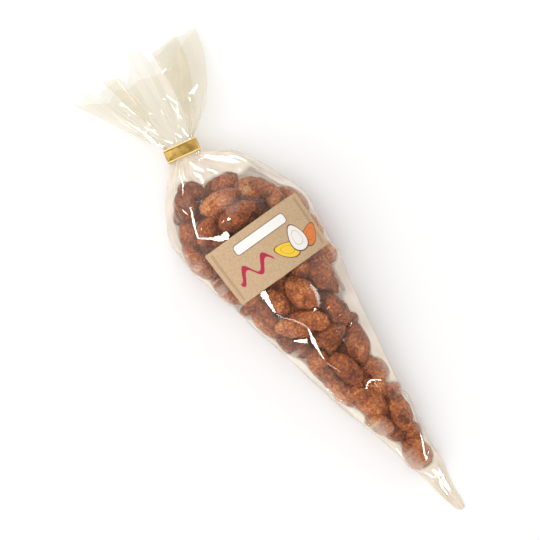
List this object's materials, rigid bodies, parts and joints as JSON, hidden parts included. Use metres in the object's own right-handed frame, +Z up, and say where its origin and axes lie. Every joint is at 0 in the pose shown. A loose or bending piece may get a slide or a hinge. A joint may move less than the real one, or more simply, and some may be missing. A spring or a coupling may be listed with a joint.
{
  "type": "bag of candied almonds",
  "caption": "Clear pointed film bag full of candied almonds, lying on its back, with its mouth gathered in a gold band under a spread ruffle and a printed kraft card label bent over the front.",
  "frame": {"origin": "on the surface that the bag lies on, under the middle of the bag's bounding box", "axes": "+Y along the bag, from the pointed tip to the gathered mouth; +X to the right of the label seen from above; +Z up, out of the label"},
  "size_m": [0.1026, 0.3746, 0.0596],
  "materials": {
    "candied_almonds": "whole almonds in a rough, partly glossy crust of browned sugar",
    "clear_film": "glossy clear wrapping film, faintly cream where it lies in several layers",
    "gold_foil": "brushed gold foil with a raised wire along each edge",
    "kraft_card": "speckled kraft card with flat printed fields of crimson, yellow, orange and white"
  },
  "bodies": {
    "root": {"bag": "candied_almonds", "tie": "gold_foil", "label": "kraft_card"}
  },
  "joints": []
}
